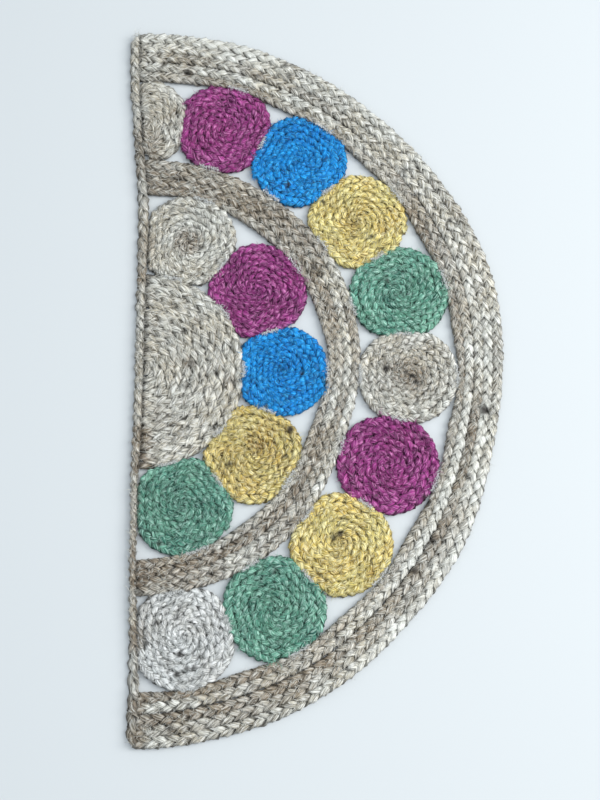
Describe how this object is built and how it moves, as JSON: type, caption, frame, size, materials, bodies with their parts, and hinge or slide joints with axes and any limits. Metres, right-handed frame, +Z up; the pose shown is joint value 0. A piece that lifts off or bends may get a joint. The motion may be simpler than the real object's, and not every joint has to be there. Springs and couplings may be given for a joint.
{
  "type": "half-round braided jute doormat",
  "caption": "Flat half-round doormat of plaited jute: coloured coiled discs in two rings between arc bands of plait rows, bound along the straight edge.",
  "frame": {"origin": "middle of the footprint's bounding box, on the floor under the mat", "axes": "+X along the straight edge, -Y out towards the round side, +Z up"},
  "size_m": [0.896, 0.4578, 0.0104],
  "materials": {
    "natural_jute": "undyed grey-beige jute plait, matt with a faint fibre sheen",
    "bleached_jute": "paler undyed jute plait, matt, with dark flecks of bark",
    "plum_jute": "plum-dyed jute plait, matt with a faint fibre sheen",
    "blue_jute": "bright blue-dyed jute plait, matt with a faint fibre sheen",
    "straw_jute": "straw-yellow-dyed jute plait, matt with a faint fibre sheen",
    "green_jute": "grey-green-dyed jute plait, matt with a faint fibre sheen"
  },
  "bodies": {
    "root": {"outer_row_1": "natural_jute", "outer_row_2": "natural_jute", "outer_row_3": "natural_jute", "outer_row_4": "natural_jute", "outer_row_5": "natural_jute", "inner_row_1": "natural_jute", "inner_row_2": "natural_jute", "inner_row_3": "natural_jute", "inner_row_4": "natural_jute", "edge_binding": "natural_jute", "centre_half_coil": "natural_jute", "edge_half_coil": "natural_jute", "outer_coil_1": "plum_jute", "outer_coil_2": "blue_jute", "outer_coil_3": "straw_jute", "outer_coil_4": "green_jute", "outer_coil_5": "natural_jute", "outer_coil_6": "plum_jute", "outer_coil_7": "straw_jute", "outer_coil_8": "green_jute", "outer_coil_9": "bleached_jute", "inner_coil_1": "natural_jute", "inner_coil_2": "plum_jute", "inner_coil_3": "blue_jute", "inner_coil_4": "straw_jute", "inner_coil_5": "green_jute"}
  },
  "joints": []
}
